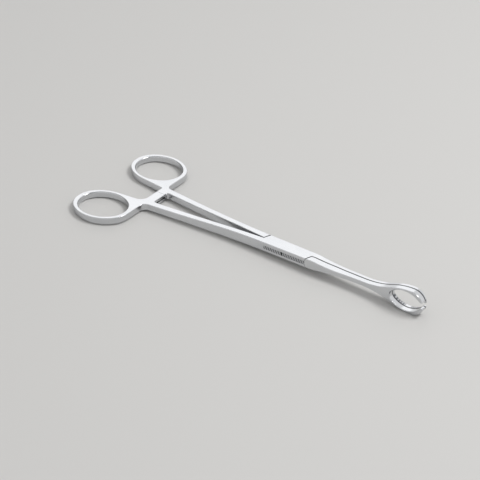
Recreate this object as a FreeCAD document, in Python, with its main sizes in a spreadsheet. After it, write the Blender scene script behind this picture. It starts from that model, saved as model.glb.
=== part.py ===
import FreeCAD, Part
import math
import os
import re
import Sketcher

# Box-lock sponge forceps, lying closed.
# X runs along the instrument to the jaws, Y across it, Z up along the rivet.
# The origin is on the rivet's axis, at the flat underside of the box.
# Every body is drawn about the mid-plane of the instrument and then lifted by half the height of the box.

# Driving dimensions in millimetres and degrees
SIZES = {
    # box
    "box_high": 4.8,
    "box_rear_wide": 7.4,
    "box_front_wide": 6.86,
    "notch_inner": 13.3,
    "notch_outer": 11.8,
    "plate_thick": 1.4,
    "layer_gap": 0.05,
    "wall_inside": 2.4,
    "tongue_inset": 0.05,
    "tongue_back_y": 0.5,
    "joint_depth": 1,
    "side_gap": 0.08,
    "split_gap": 0.18,
    "notch_gap": 0.16,
    "slot_end_radius": 13.1,
    "open_limit": 38,
    "limit_margin": 1,
    # rivet
    "rivet_wide": 2.6,
    "rivet_gap": 0.05,
    # shanks
    "shank_lean": 5.7,
    "shank_bow": 320,
    "shank_inside": 5.2,
    "thin_start": 16,
    "thin_end": 70,
    "edge_chamfer": 0.3,
    # finger rings
    "ring_x": 93.4,
    "ring_y": 21.3,
    "ring_hole_long": 25.2,
    "ring_hole_wide": 21.2,
    "ring_band_end": 2.55,
    "ring_band_side": 1.95,
    "ring_turn": 5.8,
    "oval_bluntness": 0.35,
    "hole_chamfer": 0.55,
    "ring_high": 3.4,
    "neck_vee_y": 7.3,
    "neck_round": 3,
    "vee_round": 0.8,
    # ratchet
    "bar_middle": 77.65,
    "bar_wide": 5.1,
    "bar_root": 3.2,
    "bar_end_gap": 0.12,
    "near_vee_round": 4.4,
    "gap_corner_round": 1.2,
    "tooth_high": 0.45,
    "tooth_pitch": 1.1,
    "tooth_gap": 0.1,
    # jaws
    "tip_x": 73.35,
    "jaw_ring_high": 12.1,
    "jaw_neck_high": 2.3,
    "jaw_root_x": 15.5,
    "jaw_neck_x": 33,
    "near_jaw_y": 1.9,
    "far_jaw_y": 3.0,
    "grip_y": 1.0,
    "grip_x": 27,
    "nose_long": 7.9,
    "nose_drop": 0.9,
    "taper_end": 43,
    "neck_curve": 40,
    "flank_curve": 28.7,
    "window_long": 16,
    "window_bluntness": 0.11,
    "rim_tip": 1.25,
    "rim_side": 1.15,
    "far_arm_end": 0.8,
    "near_arm_end": 1.9,
    "lower_arm_end": -0.95,
    "groove_wide": 0.7,
    "groove_deep": 0.35,
    "groove_pitch": 1,
}

TEETH = 4
GROOVES = 14
# How much of a wall the fillet in its corner and the chamfer on its rim may take
FILLET_SHARE = 0.97
CHAMFER_SHARE = 0.26


def oval_sizes(name, bluntness):
    """An oval of four arcs from its half length a and half width b: its radii, and where they meet.

    A bluntness of 0 gives the ends an ellipse's radius, and 1 half the oval's width.
    """
    return {
        f"{name}_end": f"{name}_b / {name}_a * ({name}_b + {bluntness} * ({name}_a - {name}_b))",
        f"{name}_side": f"({name}_a * {name}_a + {name}_b * {name}_b - 2 * {name}_a * {name}_end)"
                        f" / (2 * ({name}_b - {name}_end))",
        f"{name}_turn": f"atan(({name}_side - {name}_b) / ({name}_a - {name}_end))",
        f"{name}_u": f"{name}_a - {name}_end * (1 - cos({name}_turn))",
        f"{name}_v": f"{name}_end * sin({name}_turn)",
    }


# Sizes that follow from the driving ones
FOLLOWING = {
    "split": "split_gap / 2",
    "half_high": "box_high / 2",
    "box_slope": "(box_rear_wide - box_front_wide) / (4 * notch_outer)",
    "box_middle": "(box_rear_wide + box_front_wide) / 4",
    "box_corner_y": "box_middle - box_slope * notch_outer",
    "box_front_y": "box_middle - box_slope * notch_inner",
    "taper_run": "(taper_end - notch_inner) / 2",
    "taper_lean": "atan((box_front_y - near_jaw_y) / taper_run - box_slope / 2)",
    "taper_sway_x": "notch_inner + taper_run",
    "taper_sway_y": "near_jaw_y + taper_run * tan(taper_lean / 2)",
    "taper_curve": "taper_run / sin(taper_lean)",
    "taper_start_curve": "taper_run / (sin(taper_lean) - sin(box_lean))",
    "tongue_high": "box_high - 2 * plate_thick - 2 * layer_gap",
    "slot_high": "box_high - 2 * plate_thick",
    "tongue_middle": "box_middle - tongue_inset",
    "slot_wall": "wall_inside + side_gap",
    "slot_middle": "box_middle + side_gap",
    "tongue_end": "slot_end_radius - side_gap",
    "limit": "open_limit + limit_margin",
    "slot_end_x": "sqrt(slot_end_radius * slot_end_radius - slot_wall * slot_wall)",
    "slot_step_x": "sqrt(slot_middle * slot_middle - slot_wall * slot_wall)",
    "slot_exit": "(box_rear_wide - slot_middle * cos(limit)) / sin(limit)",
    "tongue_end_x": "sqrt(tongue_end * tongue_end - wall_inside * wall_inside)",
    "tongue_step_x": "sqrt(tongue_middle * tongue_middle - wall_inside * wall_inside)",
    "tongue_back_x": "sqrt(tongue_end * tongue_end - tongue_back_y * tongue_back_y)",
    "box_lean": "atan(box_slope)",
    "box_rear_y": "box_middle + box_slope * notch_outer",
    "bow_end_x": "notch_outer + shank_bow * (sin(shank_lean) - sin(box_lean))",
    "bow_end_y": "box_rear_y + shank_bow * (cos(box_lean) - cos(shank_lean))",
    "band_a": "ring_hole_long / 2 + ring_band_end",
    "band_b": "ring_hole_wide / 2 + ring_band_side",
    "hole_a": "ring_hole_long / 2",
    "hole_b": "ring_hole_wide / 2",
    "window_a": "window_long / 2",
    "window_b": "jaw_ring_high / 2 - rim_side",
    **oval_sizes("band", "oval_bluntness"),
    **oval_sizes("hole", "oval_bluntness"),
    **oval_sizes("window", "window_bluntness"),
    "neck_front": "ring_x - (band_a - band_end) * cos(ring_turn) - band_end",
    "neck_front_y": "ring_y - (band_a - band_end) * sin(ring_turn)",
    "band_side_x": "ring_x - (band_side - band_b) * sin(ring_turn)",
    "band_side_y": "ring_y + (band_side - band_b) * cos(ring_turn)",
    "vee_run": "band_side_x - bar_middle - bar_wide / 2",
    "vee_rise": "neck_vee_y - band_side_y",
    "vee_reach": "sqrt(vee_run * vee_run + vee_rise * vee_rise)",
    "vee_angle": "atan(vee_rise / vee_run) - acos(band_side / vee_reach)",
    "vee_fillet": f"min(near_vee_round; {FILLET_SHARE} * (bar_root - neck_vee_y) * tan(vee_angle / 2))",
    "vee_meets_x": "band_side_x - band_side * cos(vee_angle)",
    "vee_meets_y": "band_side_y + band_side * sin(vee_angle)",
    "shank_rear_y": "bow_end_y + (neck_front - bow_end_x) * tan(shank_lean)",
    "ring_half": "ring_high / 2",
    "thinning": "half_high - ring_half",
    "thinning_run": "thin_end - thin_start",
    "thinning_curve": "thinning_run * thinning_run / (4 * thinning) + thinning / 4",
    "bar_face": "tooth_gap / 2 + tooth_high",
    "bar_front": "bar_middle - bar_wide / 2",
    "bar_rear": "bar_middle + bar_wide / 2",
    "window_x": "tip_x - rim_tip - window_a",
    "slit_start": "window_x + window_a / 2",
    "jaw_chamfer": f"min(edge_chamfer; {CHAMFER_SHARE} * rim_side)",
    "groove_start": f"window_x - groove_pitch * {GROOVES - 1} / 2",
    "nose_x": "tip_x - nose_long",
    "nose_curve": "(nose_long * nose_long + nose_drop * nose_drop) / (2 * nose_drop)",
    "jaw_half": "jaw_ring_high / 2",
    "neck_half": "jaw_neck_high / 2",
    "ring_top_x": "tip_x - jaw_half",
    "flank_cos": "1 - (jaw_half - neck_half) / (neck_curve + flank_curve)",
    "flank_sin": "sqrt(1 - flank_cos * flank_cos)",
    "neck_end": "ring_top_x - (neck_curve + flank_curve) * flank_sin",
    "flank_x": "ring_top_x - flank_curve * flank_sin",
    "flank_z": "jaw_half - flank_curve * (1 - flank_cos)",
    "root_run": "jaw_neck_x - jaw_root_x",
    "root_drop": "half_high - neck_half",
    "root_curve": "(root_run * root_run + root_drop * root_drop) / (2 * root_drop)",
}

doc = FreeCAD.newDocument("sponge_forceps")
sheet = doc.addObject("Spreadsheet::Sheet", "Sizes")
for row, (size, amount) in enumerate(SIZES.items(), start=1):
    sheet.set(f"A{row}", size)
    sheet.set(f"B{row}", str(amount))
    sheet.setAlias(f"B{row}", size)
for row, (size, rule) in enumerate(FOLLOWING.items(), start=len(SIZES) + 1):
    sheet.set(f"A{row}", size)
    sheet.set(f"B{row}", "=" + rule)
    sheet.setAlias(f"B{row}", size)
doc.recompute()

SIZE_NAME = re.compile(r"\b(" + "|".join(list(SIZES) + list(FOLLOWING)) + r")\b")


def bound(rule):
    """A rule written with size names, as an expression on the sheet."""
    return SIZE_NAME.sub(r"Sizes.\1", rule)


def amount_of(rule):
    """What a rule comes to with the present sizes."""
    return float(sheet.evalExpression(rule))


def new_body(label):
    body = doc.addObject("PartDesign::Body", label)
    body.Label = label
    body.setExpression("Placement.Base.z", bound("half_high"))
    return body


def new_sketch(body, name, plane):
    sketch = body.newObject("Sketcher::SketchObject", name)
    origin_plane = next(item for item in body.Origin.OriginFeatures if item.Role == plane)
    sketch.AttachmentSupport = [(origin_plane, "")]
    sketch.MapMode = "FlatFace"
    return sketch


def size_constraint(sketch, kind, where, rule):
    """A constraint whose value follows the sheet."""
    index = sketch.addConstraint(Sketcher.Constraint(kind, *where, amount_of(rule)))
    sketch.setExpression(f"Constraints[{index}]", bound(rule))


def pin_point(sketch, edge, end, x_rule, y_rule):
    size_constraint(sketch, "DistanceX", (-1, 1, edge, end), x_rule)
    size_constraint(sketch, "DistanceY", (-1, 1, edge, end), y_rule)


def add_arc(sketch, start, stop, turn, radius):
    """An arc of less than half a turn from start to stop, turning left or right."""
    chord = stop - start
    across = FreeCAD.Vector(-chord.y, chord.x, 0).normalize()
    reach = math.sqrt(radius ** 2 - (chord.Length / 2) ** 2)
    centre = (start + stop) * 0.5 + across * (reach if turn == "left" else -reach)
    angles = [math.atan2(p.y - centre.y, p.x - centre.x) for p in (start, stop)]
    if turn == "right":
        angles.reverse()
    circle = Part.Circle(centre, FreeCAD.Vector(0, 0, 1), radius)
    return sketch.addGeometry(Part.ArcOfCircle(circle, *angles), False)


def add_outline(sketch, corners):
    """A closed outline. Each corner is (x, y), or (x, y, turn, radius) where an arc leaves it."""
    spots = [FreeCAD.Vector(amount_of(c[0]), amount_of(c[1]), 0) for c in corners]
    joints = []
    for number, corner in enumerate(corners):
        start, stop = spots[number], spots[(number + 1) % len(spots)]
        if len(corner) == 2:
            edge = sketch.addGeometry(Part.LineSegment(start, stop), False)
            joints.append((edge, 1, 2))
        else:
            edge = add_arc(sketch, start, stop, corner[2], amount_of(corner[3]))
            joints.append((edge, 1, 2) if corner[2] == "left" else (edge, 2, 1))
            size_constraint(sketch, "Radius", (edge,), corner[3])
    for number, corner in enumerate(corners):
        edge, first, last = joints[number]
        following = joints[(number + 1) % len(joints)]
        sketch.addConstraint(Sketcher.Constraint("Coincident", edge, last, following[0], following[1]))
        pin_point(sketch, edge, first, corner[0], corner[1])


def oval_corner(name, ahead, out, spin, middle=("0", "0"), turn="0", side=1):
    """One of the four joints of an oval: ahead and out are 1 or -1, and spin is the way the outline runs.

    The oval's length leans inwards by turn, and side -1 mirrors it to the near side.
    """
    along, across = f"{ahead} * {name}_u", f"{out} * {name}_v"
    x = f"{middle[0]} + {along} * cos({turn}) + {across} * sin({turn})"
    y = f"{side} * ({middle[1]} - {along} * sin({turn}) + {across} * cos({turn}))"
    leaves_to_side = (ahead * out > 0) == (spin == "left")
    way = spin if side > 0 else {"left": "right", "right": "left"}[spin]
    return (x, y, way, f"{name}_side" if leaves_to_side else f"{name}_end")


def oval_outline(name, middle, turn="0", side=1):
    return [oval_corner(name, ahead, out, "left", middle, turn, side)
            for ahead, out in ((1, 1), (-1, 1), (-1, -1), (1, -1))]


def oval_walls(name, middle, turn, side):
    """A spot on each of the four walls of such an oval, at the height of the sketch."""
    spots = []
    for along, across in ((f"{name}_a", "0"), ("0", f"{name}_b"), (f"-{name}_a", "0"), ("0", f"-{name}_b")):
        x = f"{middle[0]} + {along} * cos({turn}) + {across} * sin({turn})"
        y = f"{side} * ({middle[1]} - {along} * sin({turn}) + {across} * cos({turn}))"
        spots.append((x, y, "0"))
    return spots


def add_circle(sketch, x_rule, y_rule, across_rule):
    centre = FreeCAD.Vector(amount_of(x_rule), amount_of(y_rule), 0)
    circle = Part.Circle(centre, FreeCAD.Vector(0, 0, 1), amount_of(across_rule) / 2)
    edge = sketch.addGeometry(circle, False)
    pin_point(sketch, edge, 3, x_rule, y_rule)
    size_constraint(sketch, "Diameter", (edge,), across_rule)


def add_pad(body, sketch, name, high_rule):
    """Material on both sides of the sketch, high_rule thick in all."""
    pad = body.newObject("PartDesign::Pad", name)
    pad.Profile = sketch
    pad.SideType = "Symmetric"
    pad.setExpression("Length", bound(high_rule))
    doc.recompute()
    return pad


def cut_pocket(body, sketch, name, high_rule=None):
    """A cut on both sides of the sketch, right through or high_rule thick in all."""
    before = body.Shape.Volume
    pocket = body.newObject("PartDesign::Pocket", name)
    pocket.Profile = sketch
    pocket.SideType = "Symmetric"
    if high_rule is None:
        pocket.Type = "ThroughAll"
    else:
        pocket.setExpression("Length", bound(high_rule))
    doc.recompute()
    if body.Shape.Volume >= before:
        raise RuntimeError(f"{name} removes nothing")
    return pocket


SMOOTH = 0.87
TOUCHING = 0.01
UP = FreeCAD.Vector(0, 0, 1)


def middle_of(edge):
    return edge.valueAt((edge.FirstParameter + edge.LastParameter) / 2)


def normal_of(face, point):
    return face.normalAt(*face.Surface.parameter(point))


def halfway(first, second):
    """The spot halfway along a straight side of an outline, at the height of the sketch."""
    return (f"({first[0]} + {second[0]}) / 2", f"({first[1]} + {second[1]}) / 2", "0")


def dress_edges(body, kind, name, size_name, size_rule, edge_names):
    """A fillet or chamfer on the named edges of the body so far."""
    if not edge_names:
        raise RuntimeError(f"{body.Label} {name} finds no edge")
    base = body.Tip
    dressed = body.newObject(f"PartDesign::{kind}", name)
    dressed.Base = (base, edge_names)
    dressed.setExpression(size_name, bound(size_rule))
    doc.recompute()
    if "Invalid" in dressed.State:
        raise RuntimeError(f"{body.Label} {name}: {dressed.getStatusString()}")


def round_upright(body, name, radius_rule, x_rule, y_rule):
    """A fillet on the upright edge at x, y."""
    x, y = amount_of(x_rule), amount_of(y_rule)
    names = []
    for number, edge in enumerate(body.Tip.Shape.Edges, start=1):
        point = middle_of(edge)
        if abs(point.z) < TOUCHING and math.hypot(point.x - x, point.y - y) < TOUCHING:
            names.append(f"Edge{number}")
    dress_edges(body, "Fillet", name, "Radius", radius_rule, names)


def bevel_rims(body, name, size_rule, spots, at_spots=False, facing=None):
    """A chamfer on every edge but those of the faces that hold a spot, or only on those with at_spots.

    With facing, it is only on the edges of faces that look that way.
    """
    shape = body.Tip.Shape
    spots = [Part.Vertex(*[amount_of(rule) for rule in spot]) for spot in spots]
    names = []
    for number, edge in enumerate(shape.Edges, start=1):
        faces = shape.ancestorsOfType(edge, Part.Face)
        point = middle_of(edge)
        ways = [normal_of(face, point) for face in faces]
        if len(faces) != 2 or ways[0].dot(ways[1]) > SMOOTH:
            continue
        if facing and max(way.dot(facing) for way in ways) < SMOOTH:
            continue
        if any(face.distToShape(spot)[0] < TOUCHING for face in faces for spot in spots) == at_spots:
            names.append(f"Edge{number}")
    dress_edges(body, "Chamfer", name, "Size", size_rule, names)


# Handles: shank, neck and finger ring


RING_MIDDLE = ("-ring_x", "ring_y")


def handle_outline(side):
    """From the front of the ratchet root, round the finger ring and back along the shank to the box."""
    outwards = "left" if side < 0 else "right"
    inwards = "right" if side < 0 else "left"
    band = [oval_corner("band", ahead, out, "right", RING_MIDDLE, "ring_turn", side)
            for ahead, out in ((-1, -1), (-1, 1), (1, 1))]
    return [
        ("-bar_front", f"{side} * shank_inside"),
        ("-bar_front", f"{side} * bar_root"),
        ("-bar_rear", f"{side} * bar_root"),
        ("-bar_rear", f"{side} * neck_vee_y"),
        ("-vee_meets_x", f"{side} * vee_meets_y", outwards, "band_side"),
    ] + band + [
        ("-neck_front", f"{side} * neck_front_y"),
        ("-neck_front", f"{side} * shank_rear_y"),
        ("-bow_end_x", f"{side} * bow_end_y", inwards, "shank_bow"),
        ("-notch_outer", f"{side} * box_rear_y"),
    ]


def thin_towards_ring(body):
    """The top and bottom curve gently from the box down to the height of the finger ring."""
    sketch = new_sketch(body, "slope_outline", "XZ_Plane")
    middle = "-(thin_start + thin_end) / 2"
    for sign, first, second in ((1, "left", "right"), (-1, "right", "left")):
        add_outline(sketch, [
            ("-thin_start", f"{sign} * half_high", first, "thinning_curve"),
            (middle, f"{sign} * (half_high + ring_half) / 2", second, "thinning_curve"),
            ("-thin_end", f"{sign} * ring_half"),
            ("-2 * ring_x", f"{sign} * ring_half"),
            ("-2 * ring_x", f"{sign} * box_high"),
            ("-thin_start", f"{sign} * box_high"),
        ])
    cut_pocket(body, sketch, "slopes")


def add_handle(body, side, end_corners, sharp_sides):
    """The handle and what end_corners adds to it ahead of its shank, with its rims eased."""
    blank = new_sketch(body, "handle_outline", "XY_Plane")
    add_outline(blank, handle_outline(side) + end_corners)
    add_pad(body, blank, "handle_blank", "box_high")
    round_upright(body, "neck_corner", "neck_round", "-neck_front", f"{side} * shank_rear_y")
    vee_rule = "vee_fillet" if side < 0 else "vee_round"
    round_upright(body, "vee_corner", vee_rule, "-bar_rear", f"{side} * neck_vee_y")
    round_upright(body, "gap_corner", "gap_corner_round", "-bar_front", f"{side} * shank_inside")
    thin_towards_ring(body)
    root_end = ("-bar_middle", f"{side} * bar_root", "0")
    bevel_rims(body, "rims", "edge_chamfer", [root_end] + [halfway(*pair) for pair in sharp_sides])
    hole = new_sketch(body, "finger_hole", "XY_Plane")
    add_outline(hole, oval_outline("hole", RING_MIDDLE, "ring_turn", side))
    cut_pocket(body, hole, "finger_opening")
    walls = oval_walls("hole", RING_MIDDLE, "ring_turn", side)
    bevel_rims(body, "hole_rims", "hole_chamfer", walls, at_spots=True)


# Ratchet: each half has a bar across the gap, half as high as the handle, with teeth that face the other's


def new_ratchet_bar(label, side, level):
    """The bar from this half's root to just short of the other's.

    level is 1 for the upper bar and -1 for the lower. The steep flanks of the upper teeth look to the
    near side and those of the lower teeth to the far side.
    """
    body = new_body(label)
    outline = new_sketch(body, "bar_outline", "YZ_Plane")
    outline.setExpression("AttachmentOffset.Base.z", bound("-bar_middle"))
    near_end = "-(bar_root + joint_depth)" if side < 0 else "-(bar_root - bar_end_gap)"
    far_end = "bar_root - bar_end_gap" if side < 0 else "bar_root + joint_depth"
    face = f"{level} * bar_face"
    tip = f"{level} * tooth_gap / 2"
    corners = [(far_end, f"{level} * ring_half"), (near_end, f"{level} * ring_half"), (near_end, face)]
    for tooth in range(TEETH):
        start = f"({tooth} - {TEETH} / 2) * tooth_pitch"
        stop = f"({tooth + 1} - {TEETH} / 2) * tooth_pitch"
        steep = start if level > 0 else stop
        if tooth == 0:
            corners.append((start, face))
        corners += [(steep, tip), (stop, face)]
    corners.append((far_end, face))
    add_outline(outline, corners)
    add_pad(body, outline, "bar", "bar_wide")
    face_middle = f"{level} * (ring_half + bar_face) / 2"
    ends = [("-bar_middle", near_end, face_middle), ("-bar_middle", far_end, face_middle)]
    bevel_rims(body, "bar_rims", "edge_chamfer", ends, facing=UP * level)
    return body


# Jaws: each is a blade on edge, with an oval window in its ring end


def jaw_side_outline():
    """Seen from the side: the neck sinks from the box, then swells into the ring."""
    top = [
        ("notch_outer", "half_high"),
        ("jaw_root_x", "half_high", "left", "root_curve"),
        ("jaw_neck_x", "neck_half"),
        ("neck_end", "neck_half", "left", "neck_curve"),
        ("flank_x", "flank_z", "right", "flank_curve"),
        ("ring_top_x", "jaw_half", "right", "jaw_half"),
    ]
    bottom = [
        ("tip_x", "0", "right", "jaw_half"),
        ("ring_top_x", "-jaw_half", "right", "flank_curve"),
        ("flank_x", "-flank_z", "left", "neck_curve"),
        ("neck_end", "-neck_half"),
        ("jaw_neck_x", "-neck_half", "left", "root_curve"),
        ("jaw_root_x", "-half_high"),
        ("notch_outer", "-half_high"),
    ]
    return top + bottom


def new_jaw(label, side, back_corners, outside, arm_end):
    """A jaw on the side of the split that side gives, 1 for far and -1 for near.

    The split leans from the middle of the box to grip_y, where the gripping faces lie. Its ring is cut
    through at the tip, from the end of the upper arm down to that of the lower arm.
    """
    body = new_body(label)
    blade = new_sketch(body, "side_outline", "XZ_Plane")
    add_outline(blade, jaw_side_outline())
    add_pad(body, blade, "blade", "2 * box_middle")
    plan = new_sketch(body, "plan_trim", "XY_Plane")
    grip_face = f"grip_y + {side} * split"
    inside = [("grip_x", grip_face)] + back_corners
    add_outline(plan, [("2 * tip_x", grip_face)] + inside + outside + [
        ("2 * tip_x", f"{side} * box_rear_wide"),
        ("0", f"{side} * box_rear_wide"),
        ("0", f"{-side} * box_rear_wide"),
        ("2 * tip_x", f"{-side} * box_rear_wide"),
    ])
    cut_pocket(body, plan, "taper_and_split")
    window = new_sketch(body, "window_outline", "XZ_Plane")
    add_outline(window, oval_outline("window", ("window_x", "0")))
    cut_pocket(body, window, "window")
    slit = new_sketch(body, "tip_slit_outline", "XZ_Plane")
    add_outline(slit, [
        ("slit_start", "lower_arm_end"),
        ("2 * tip_x", "lower_arm_end"),
        ("2 * tip_x", arm_end),
        ("slit_start", arm_end),
    ])
    cut_pocket(body, slit, "tip_slit")
    sharp_spots = [("jaw_neck_x", grip_face, "0")] + [halfway(*pair) for pair in zip(inside, inside[1:])]
    bevel_rims(body, "rims", "jaw_chamfer", sharp_spots)
    groove = new_sketch(body, "groove_outline", "XY_Plane")
    add_outline(groove, [
        ("groove_start - groove_wide / 2", "grip_y"),
        ("groove_start + groove_wide / 2", "grip_y"),
        ("groove_start", f"grip_y + {side} * (split + groove_deep)"),
    ])
    cut = cut_pocket(body, groove, "groove")
    grooves = body.newObject("PartDesign::LinearPattern", "grooves")
    grooves.Originals = [cut]
    grooves.Direction = (groove, ["H_Axis"])
    grooves.Occurrences = GROOVES
    grooves.setExpression("Length", bound(f"groove_pitch * {GROOVES - 1}"))
    body.Tip = grooves
    doc.recompute()
    return body


# Half with the box: near handle, slotted box, far jaw

front_corner = ("notch_outer", "-box_corner_y")
front_inside = ("notch_inner", "-split")
jaw_corner = ("notch_inner", "box_front_y")
rear_corner = ("-notch_outer + notch_gap", "box_middle + box_slope * (notch_outer - notch_gap)")
rear_inside = ("-notch_inner + notch_gap", "-split")
box_blank = new_body("box_blank")
add_handle(
    box_blank, -1,
    [front_corner, front_inside, jaw_corner, rear_corner, rear_inside],
    [(front_corner, front_inside), (front_inside, jaw_corner), (rear_corner, rear_inside)],
)


def slot_outline():
    """Where the tongue lies and swings: open to the far side behind the rivet and to the near side ahead."""
    half = [
        ("slot_end_x", "slot_wall"),
        ("slot_step_x", "slot_wall", "left", "slot_middle"),
        ("slot_middle * sin(limit)", "slot_middle * cos(limit)"),
        ("slot_middle * sin(limit) - slot_exit * cos(limit)", "box_rear_wide"),
        ("-2 * notch_inner", "box_rear_wide"),
        ("-2 * notch_inner", "0"),
        ("-slot_end_radius", "0", "left", "slot_end_radius"),
    ]
    other = [tuple([f"-({c[0]})", f"-({c[1]})"] + list(c[2:])) for c in half]
    return half + other


slot = new_body("slot")
slot_sketch = new_sketch(slot, "slot_outline", "XY_Plane")
add_outline(slot_sketch, slot_outline())
add_pad(slot, slot_sketch, "slot_space", "slot_high")
rivet_hole = new_body("rivet_hole")
rivet_sketch = new_sketch(rivet_hole, "rivet_hole_outline", "XY_Plane")
add_circle(rivet_sketch, "0", "0", "rivet_wide")
add_pad(rivet_hole, rivet_sketch, "rivet_space", "2 * box_high")

far_jaw = new_jaw(
    "far_jaw", 1,
    [
        ("notch_inner", "split"),
        ("notch_inner - joint_depth", "split"),
        ("notch_inner - joint_depth", "box_front_y + joint_depth * box_slope"),
    ],
    [
        ("notch_inner", "box_front_y"),
        ("taper_end", "far_jaw_y"),
        ("nose_x", "far_jaw_y", "right", "nose_curve"),
        ("tip_x", "far_jaw_y - nose_drop"),
        ("2 * tip_x", "far_jaw_y - nose_drop"),
    ],
    "far_arm_end",
)

# Half that passes through the box: far handle, tongue, near jaw

shank_corner = ("-notch_outer", "box_rear_y")
shank_inside_end = ("-notch_inner", "split")
inner_blank = new_body("inner_blank")
add_handle(inner_blank, 1, [shank_inside_end], [(shank_corner, shank_inside_end)])
near_jaw = new_jaw(
    "near_jaw", -1,
    [
        ("notch_inner + notch_gap", "-split"),
        ("notch_outer + notch_gap", "-(box_corner_y - notch_gap * box_slope)"),
    ],
    [
        ("notch_inner", "-box_front_y", "left", "taper_start_curve"),
        ("taper_sway_x", "-taper_sway_y", "right", "taper_curve"),
        ("taper_end", "-near_jaw_y"),
        ("2 * tip_x", "-near_jaw_y"),
    ],
    "near_arm_end",
)

tongue = new_body("tongue")
tongue_sketch = new_sketch(tongue, "tongue_outline", "XY_Plane")


def tongue_outline():
    half = [
        ("tongue_end_x", "wall_inside"),
        ("tongue_step_x", "wall_inside", "left", "tongue_middle"),
        ("0", "tongue_middle"),
        ("-notch_inner - joint_depth", "box_rear_y - tongue_inset"),
        ("-notch_inner - joint_depth", "tongue_back_y"),
        ("-tongue_back_x", "tongue_back_y", "left", "tongue_end"),
    ]
    other = [tuple([f"-({c[0]})", f"-({c[1]})"] + list(c[2:])) for c in half]
    other[3] = ("notch_inner + joint_depth", "-(box_front_y - joint_depth * tan(taper_lean) - tongue_inset)")
    return half + other


add_outline(tongue_sketch, tongue_outline())
add_circle(tongue_sketch, "0", "0", "rivet_wide + 2 * rivet_gap")
add_pad(tongue, tongue_sketch, "tongue_pad", "tongue_high")

pin = new_body("pivot_pin")
pin_sketch = new_sketch(pin, "rivet_outline", "XY_Plane")
add_circle(pin_sketch, "0", "0", "rivet_wide")
add_pad(pin, pin_sketch, "rivet", "box_high")


def fused(label, pieces):
    whole = doc.addObject("Part::MultiFuse", label)
    whole.Label = label
    whole.Shapes = pieces
    whole.Refine = True
    doc.recompute()
    return whole


def cut_from(label, base, tool):
    rest = doc.addObject("Part::Cut", label)
    rest.Label = label
    rest.Base = base
    rest.Tool = tool
    doc.recompute()
    if rest.Shape.Volume >= base.Shape.Volume:
        raise RuntimeError(f"{label} loses nothing")
    return rest


upper_bar = new_ratchet_bar("upper_bar", -1, 1)
lower_bar = new_ratchet_bar("lower_bar", 1, -1)
solid_half = fused("solid_half", [box_blank, far_jaw, upper_bar])
slotted_half = cut_from("slotted_half", solid_half, slot)
box_half = cut_from("box_half", slotted_half, rivet_hole)
inner_half = fused("inner_half", [inner_blank, tongue, near_jaw, lower_bar])

for item in doc.Objects:
    if "Invalid" in item.State or "Error" in item.State:
        raise RuntimeError(f"{item.Name}: {item.State} {item.getStatusString()}")

NODES = (box_half, inner_half, pin)
for node in NODES:
    if node.Shape.isNull() or not node.Shape.isValid():
        raise RuntimeError(f"{node.Label} has no valid shape")

os.makedirs("parts", exist_ok=True)
for node in NODES:
    node.Shape.exportStep(f"parts/{node.Label}.step")
    print(node.Label, round(node.Shape.Volume, 1), len(node.Shape.Solids), len(node.Shape.Faces))
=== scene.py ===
import math

import bmesh
import bpy
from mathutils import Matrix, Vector


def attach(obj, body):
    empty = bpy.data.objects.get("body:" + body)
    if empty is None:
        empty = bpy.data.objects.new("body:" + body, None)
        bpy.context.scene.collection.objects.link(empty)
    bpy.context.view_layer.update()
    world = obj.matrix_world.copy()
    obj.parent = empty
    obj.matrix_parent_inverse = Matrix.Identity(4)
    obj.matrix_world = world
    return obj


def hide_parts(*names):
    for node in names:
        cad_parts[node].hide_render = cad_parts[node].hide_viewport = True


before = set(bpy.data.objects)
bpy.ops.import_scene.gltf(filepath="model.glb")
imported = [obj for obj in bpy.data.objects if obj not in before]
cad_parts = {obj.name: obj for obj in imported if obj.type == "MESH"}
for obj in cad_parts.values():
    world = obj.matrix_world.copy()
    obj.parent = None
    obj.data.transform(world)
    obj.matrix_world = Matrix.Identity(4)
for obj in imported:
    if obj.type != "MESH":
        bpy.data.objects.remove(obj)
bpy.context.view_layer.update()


# Half with the box
# The half that carries the near handle, the slotted box and the far jaw, drop forged in martensitic
# stainless steel. It is ground, hardened and polished on felt mops. A strip along the near side of the
# box is cross-filed, and the gripping rim of its jaw is cut across.

def linear(colour):
    """An sRGB hex colour as the linear values that a shader takes."""
    parts = [int(colour[i:i + 2], 16) / 255 for i in (1, 3, 5)]
    return [p / 12.92 if p <= 0.04045 else ((p + 0.055) / 1.055) ** 2.4 for p in parts] + [1]


def add_node(tree, kind, settings=None, **links):
    """A node with its settings, and its inputs set to a value or linked to another node's output."""
    node = tree.nodes.new(kind)
    for name, value in (settings or {}).items():
        setattr(node, name, value)
    for name, value in links.items():
        set_input(tree, node.inputs[name.replace("_", " ")], value)
    return node


def set_input(tree, socket, value):
    """Links a node's output to the socket, or sets the socket to a plain value."""
    if isinstance(value, bpy.types.NodeSocket):
        tree.links.new(value, socket)
    else:
        socket.default_value = value


def combined(tree, operation, *values):
    """The result of one sum on outputs of other nodes or plain numbers."""
    node = add_node(tree, "ShaderNodeMath", {"operation": operation})
    for socket, value in zip(node.inputs, values):
        set_input(tree, socket, value)
    return node.outputs["Value"]


def all_of(tree, masks):
    """1 where every mask is 1."""
    whole = 1.0
    for mask in masks:
        whole = combined(tree, "MULTIPLY", whole, mask)
    return whole


def band(tree, coordinate, middle_mm, reach_mm):
    """1 where a coordinate lies within reach of the middle."""
    return combined(tree, "COMPARE", coordinate, middle_mm / 1000, reach_mm / 1000)


def painted(tree, below, colour, amount):
    """A colour laid over another by an amount from 0 to 1."""
    mix = add_node(tree, "ShaderNodeMix", {"data_type": "RGBA"}, Factor=amount)
    set_input(tree, mix.inputs["A"], below)
    mix.inputs["B"].default_value = linear(colour)
    return mix.outputs["Result"]


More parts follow.
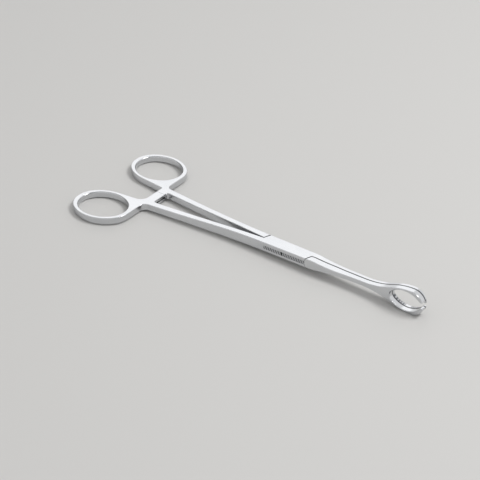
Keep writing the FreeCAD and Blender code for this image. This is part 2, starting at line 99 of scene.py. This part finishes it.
NOTCH_AT_MM = 13.4
NOTCH_LEAN = 0.36
SPLIT_START_MM = 13.3
SPLIT_END_MM = 27
SPLIT_SHIFT_MM = 1.0
JOINT_REACH_MM = 0.3


def painted_joint_shade(tree, place, facing):
    """1 along the notches of the box and along the split of the jaws: painted shade, a dark line for the
    shade inside the joints.

    The gaps themselves are 0.16 to 0.18 mm wide, too fine to show at this size, so the lines are drawn 0.6 mm
    wide. The walls inside the joints stay bright: they are told from the outside by the way that they face.
    """
    x, y = place.outputs["X"], place.outputs["Y"]
    lean = combined(tree, "SUBTRACT", x, combined(tree, "MULTIPLY", y, NOTCH_LEAN))
    upright = combined(tree, "ABSOLUTE", facing.outputs["Z"])
    notches = all_of(tree, [
        band(tree, combined(tree, "ABSOLUTE", lean), NOTCH_AT_MM, JOINT_REACH_MM),
        combined(tree, "LESS_THAN", combined(tree, "MULTIPLY", lean, y), 0.0),
        combined(tree, "GREATER_THAN", upright, 0.5),
    ])
    course = add_node(tree, "ShaderNodeMapRange", Value=x, From_Min=SPLIT_START_MM / 1000,
                      From_Max=SPLIT_END_MM / 1000, To_Min=0.0, To_Max=SPLIT_SHIFT_MM / 1000)
    sideways = combined(tree, "ABSOLUTE", facing.outputs["Y"])
    split = all_of(tree, [
        band(tree, combined(tree, "SUBTRACT", y, course.outputs["Result"]), 0, JOINT_REACH_MM),
        combined(tree, "GREATER_THAN", x, (SPLIT_START_MM - 0.1) / 1000),
        combined(tree, "LESS_THAN", sideways, 0.5),
    ])
    return combined(tree, "MAXIMUM", notches, split)


def filed_cuts(tree, place, pitch_mm, lean, bands):
    """How deep the strokes of a filed patch are: 0.5 at the bottom of each cut, 0 between and outside."""
    inside = all_of(tree, [band(tree, place.outputs[axis], *span) for axis, *span in bands])
    along = combined(tree, "ADD", place.outputs["X"], combined(tree, "MULTIPLY", place.outputs["Z"], lean))
    saw = combined(tree, "PINGPONG", combined(tree, "MULTIPLY", along, 1000 / pitch_mm), 0.5)
    return combined(tree, "MULTIPLY", combined(tree, "SUBTRACT", 0.5, saw), inside)


POLISHED_STEEL = "#D6D7D9"
SHADED_STEEL = "#C9CBCE"
# Painted shade: a grey laid into the bottoms of the filed cuts, as if they were shaded.
PAINTED_GROOVE_SHADE = "#4A4C50"
# Painted shade: the dark of the lines along the joints.
PAINTED_JOINT_SHADE = "#26272A"
HAIRLINE_PITCH_MM = 0.35
HAIRLINE_LENGTH_MM = 1000 / 60
HAIRLINE_DEPTH_MM = 0.01
MOP_RIPPLE_MM = 9.0
MOP_RIPPLE_DEPTH_MM = 0.08
FILE_CUT_DEPTH_MM = 0.25


def polished_steel(name, filed_patches):
    """Mirror-polished instrument steel: a bright, slightly cool metal with faint lines along the work.

    Each filed patch is (pitch_mm, lean, bands), and each band is (axis, middle_mm, reach_mm).
    """
    material = bpy.data.materials.new(name)
    material.use_nodes = True
    tree = material.node_tree
    shader = tree.nodes["Principled BSDF"]
    shader.inputs["Metallic"].default_value = 1
    coordinates = add_node(tree, "ShaderNodeTexCoord")
    place = add_node(tree, "ShaderNodeSeparateXYZ", Vector=coordinates.outputs["Object"])
    facing = add_node(tree, "ShaderNodeSeparateXYZ", Vector=coordinates.outputs["Normal"])
    across = 1000 / HAIRLINE_PITCH_MM
    stretched = add_node(tree, "ShaderNodeMapping", Vector=coordinates.outputs["Object"],
                         Scale=(1000 / HAIRLINE_LENGTH_MM, across, across))
    hairlines = add_node(tree, "ShaderNodeTexNoise", Vector=stretched.outputs["Vector"],
                         Scale=1.0, Detail=3.0)
    ripple = add_node(tree, "ShaderNodeTexNoise", Vector=coordinates.outputs["Object"],
                      Scale=1000 / MOP_RIPPLE_MM, Detail=1.0)
    rough = add_node(tree, "ShaderNodeMapRange", Value=hairlines.outputs["Fac"],
                     From_Min=0.3, From_Max=0.7, To_Min=0.11, To_Max=0.18)
    mop = add_node(tree, "ShaderNodeBump", Height=ripple.outputs["Fac"],
                   Strength=0.25, Distance=MOP_RIPPLE_DEPTH_MM / 1000)
    lines = add_node(tree, "ShaderNodeBump", Height=hairlines.outputs["Fac"], Normal=mop.outputs["Normal"],
                     Strength=0.15, Distance=HAIRLINE_DEPTH_MM / 1000)
    normal = lines.outputs["Normal"]
    colour = painted(tree, linear(SHADED_STEEL), POLISHED_STEEL, ripple.outputs["Fac"])
    for pitch_mm, lean, bands in filed_patches:
        depth = filed_cuts(tree, place, pitch_mm, lean, bands)
        cut = add_node(tree, "ShaderNodeBump", {"invert": True}, Height=depth, Normal=normal,
                       Strength=1.0, Distance=FILE_CUT_DEPTH_MM / 1000)
        normal = cut.outputs["Normal"]
        # Painted shade: the bottom of each cut is painted grey for the shade in it.
        colour = painted(tree, colour, PAINTED_GROOVE_SHADE, combined(tree, "MULTIPLY", depth, 2.0))
    # Painted shade: dark lines along the notches and the split, for the shade in the joints.
    colour = painted(tree, colour, PAINTED_JOINT_SHADE, painted_joint_shade(tree, place, facing))
    tree.links.new(colour, shader.inputs["Base Color"])
    tree.links.new(rough.outputs["Result"], shader.inputs["Roughness"])
    tree.links.new(normal, shader.inputs["Normal"])
    return material


# In the photo the strokes of the strip are about 1.1 mm apart. They are drawn at 1.4 mm, as coarse as they
# need to be to show. The cuts across the rim are a guess at 1 mm apart.
box_strip = (1.4, 0.5, [("X", 0.3, 11.3), ("Y", -3.6, 0.5), ("Z", 2.35, 0.85)])
rim_cuts = (1.0, 0.3, [("X", 64.1, 7.6), ("Y", 2.0, 1.05), ("Z", 0, 2.4)])
steel = polished_steel("polished_instrument_steel", [box_strip])
cut_steel = polished_steel("cut_instrument_steel", [box_strip, rim_cuts])

SAME_FLAT = math.radians(0.3)
SAME_SURFACE = math.radians(15)
REAL_CORNER = math.radians(55)
SEAM_GAP = 0.000002


def patch_areas(skin, angle):
    """For each face, the whole area of the patch that it forms with the neighbours within that angle."""
    patch = list(range(len(skin.faces)))

    def find(number):
        while patch[number] != number:
            patch[number] = patch[patch[number]]
            number = patch[number]
        return number

    for edge in skin.edges:
        if len(edge.link_faces) == 2 and edge.calc_face_angle() < angle:
            first, second = (find(face.index) for face in edge.link_faces)
            patch[first] = second
    areas = {}
    for face in skin.faces:
        whole = find(face.index)
        areas[whole] = areas.get(whole, 0) + face.calc_area() * 1e6
    return [areas[find(number)] for number in range(len(patch))]


def corner_fans(vert):
    """The face corners at a vertex, in groups that no real corner of the forging divides."""
    left = list(vert.link_loops)
    while left:
        fan, ahead = [], [left.pop()]
        while ahead:
            loop = ahead.pop()
            fan.append(loop)
            for edge in vert.link_edges:
                if edge not in loop.face.edges or len(edge.link_faces) != 2:
                    continue
                if edge.calc_face_angle() > REAL_CORNER:
                    continue
                for other in vert.link_loops:
                    if other in left and other.face in edge.link_faces:
                        left.remove(other)
                        ahead.append(other)
        yield fan


def eased_normals(mesh):
    """Corner normals that shade the narrow ground edges round: broad surfaces keep theirs, and flats most."""
    skin = bmesh.new()
    skin.from_mesh(mesh)
    skin.normal_update()
    skin.faces.ensure_lookup_table()
    flats, surfaces = patch_areas(skin, SAME_FLAT), patch_areas(skin, SAME_SURFACE)
    normals = [None] * len(mesh.loops)
    for vert in skin.verts:
        for fan in corner_fans(vert):
            way = Vector((0, 0, 0))
            for loop in fan:
                number = loop.face.index
                way += loop.face.normal * loop.calc_angle() * surfaces[number] ** 2 * flats[number]
            way.normalize()
            for loop in fan:
                normals[loop.index] = way
    skin.free()
    return normals


def smooth_copy(node_name, body, name, finish):
    """The forging as one closed skin, with its ground edges shaded round and sharp only at real corners."""
    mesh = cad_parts[node_name].data.copy()
    mesh.name = name
    skin = bmesh.new()
    skin.from_mesh(mesh)
    bmesh.ops.remove_doubles(skin, verts=skin.verts, dist=SEAM_GAP)
    skin.to_mesh(mesh)
    skin.free()
    mesh.polygons.foreach_set("use_smooth", [True] * len(mesh.polygons))
    mesh.materials.clear()
    mesh.materials.append(finish)
    mesh.normals_split_custom_set(eased_normals(mesh))
    piece = bpy.data.objects.new(name, mesh)
    bpy.context.collection.objects.link(piece)
    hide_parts(node_name)
    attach(piece, body)


smooth_copy("box_half", "box_side", "forged_box_half", cut_steel)


# Half that passes through the box
# The half with the far handle, the thin tongue that turns inside the box, and the near jaw. It is forged
# and polished as the other one is, and the filed strip on the box runs on over its near side.

smooth_copy("inner_half", "inner_side", "forged_inner_half", steel)


# Rivet
# A short pin of the same steel, hammered tight in the box and ground flush with both of its faces. It is
# polished together with the box, so it hardly shows.

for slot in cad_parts["pivot_pin"].material_slots:
    slot.material = steel


# Floor
# A plain pale studio floor. It passes just under the rims of the jaws and under the finger rings, on which
# the instrument stands, and so it slopes a little along it.

FLOOR_PALE = "#CFCECC"
FLOOR_REACH = 3.0


def studio_floor():
    (front_x, front_z), (rear_x, rear_z) = (0.0673, -0.00368), (-0.1085, 0.00067)
    slope = (rear_z - front_z) / (rear_x - front_x)
    corners = [(x, y, front_z + (x - front_x) * slope) for x, y in (
        (-FLOOR_REACH, -FLOOR_REACH),
        (FLOOR_REACH, -FLOOR_REACH),
        (FLOOR_REACH, FLOOR_REACH),
        (-FLOOR_REACH, FLOOR_REACH),
    )]
    mesh = bpy.data.meshes.new("floor")
    mesh.from_pydata(corners, [], [(0, 1, 2, 3)])
    floor = bpy.data.objects.new("floor", mesh)
    bpy.context.collection.objects.link(floor)
    material = bpy.data.materials.new("pale_floor")
    material.use_nodes = True
    shader = material.node_tree.nodes["Principled BSDF"]
    shader.inputs["Base Color"].default_value = linear(FLOOR_PALE)
    shader.inputs["Roughness"].default_value = 0.8
    mesh.materials.append(material)


studio_floor()


# Light
# A large softbox behind the instrument, which its top faces mirror, and a smaller lamp for the shadow.
# The studio around it is pale to the rear and the front, and dimmer overhead and to both ends.

def soft_lamp(name, place, size, power):
    """A round lamp that looks at the box of the instrument."""
    lamp = bpy.data.lights.new(name, "AREA")
    lamp.shape = "DISK"
    lamp.size = size
    lamp.energy = power
    item = bpy.data.objects.new(name, lamp)
    item.location = place
    item.rotation_euler = (-Vector(place)).to_track_quat("-Z", "Y").to_euler()
    bpy.context.collection.objects.link(item)


soft_lamp("top_softbox", (-0.87, 1.26, 1.0), 1.2, 1.6)
soft_lamp("key_lamp", (0.55, 0.35, 1.0), 0.5, 7)

PLAIN_LEVEL = 0.58
DIM_LEVEL = 0.28
PALE_LEVEL = 0.95


def studio_world():
    world = bpy.data.worlds.new("studio")
    bpy.context.scene.world = world
    world.use_nodes = True
    sky = world.node_tree
    background = sky.nodes["Background"]
    ray = add_node(sky, "ShaderNodeLightPath").outputs
    seen = combined(sky, "MAXIMUM", ray["Is Camera Ray"], ray["Is Glossy Ray"])
    seen = combined(sky, "MAXIMUM", seen, ray["Is Transmission Ray"])
    look = add_node(sky, "ShaderNodeTexCoord")
    way = add_node(sky, "ShaderNodeSeparateXYZ", Vector=look.outputs["Generated"])
    shown = add_node(sky, "ShaderNodeMapRange", {"interpolation_type": "SMOOTHSTEP"},
                     Value=combined(sky, "ABSOLUTE", way.outputs["Y"]),
                     From_Min=0.15, From_Max=0.55, To_Min=DIM_LEVEL, To_Max=PALE_LEVEL)
    level = add_node(sky, "ShaderNodeMix", Factor=seen, A=PLAIN_LEVEL, B=shown.outputs["Result"])
    sky.links.new(level.outputs["Result"], background.inputs["Strength"])
    background.inputs["Color"].default_value = (1, 1, 1, 1)


studio_world()


# Camera at the photograph's angle

camera = bpy.data.objects.new("camera", bpy.data.cameras.new("camera"))
camera.data.lens = 120
camera.data.sensor_width = 36
camera.data.clip_start = 0.01
camera.location = (0.35053, -0.50648, 0.40498)
camera.rotation_euler = (math.radians(90 - 32.786), 0, math.radians(126.722 - 90))
bpy.context.collection.objects.link(camera)
bpy.context.scene.camera = camera
bpy.context.scene.view_settings.view_transform = "Standard"
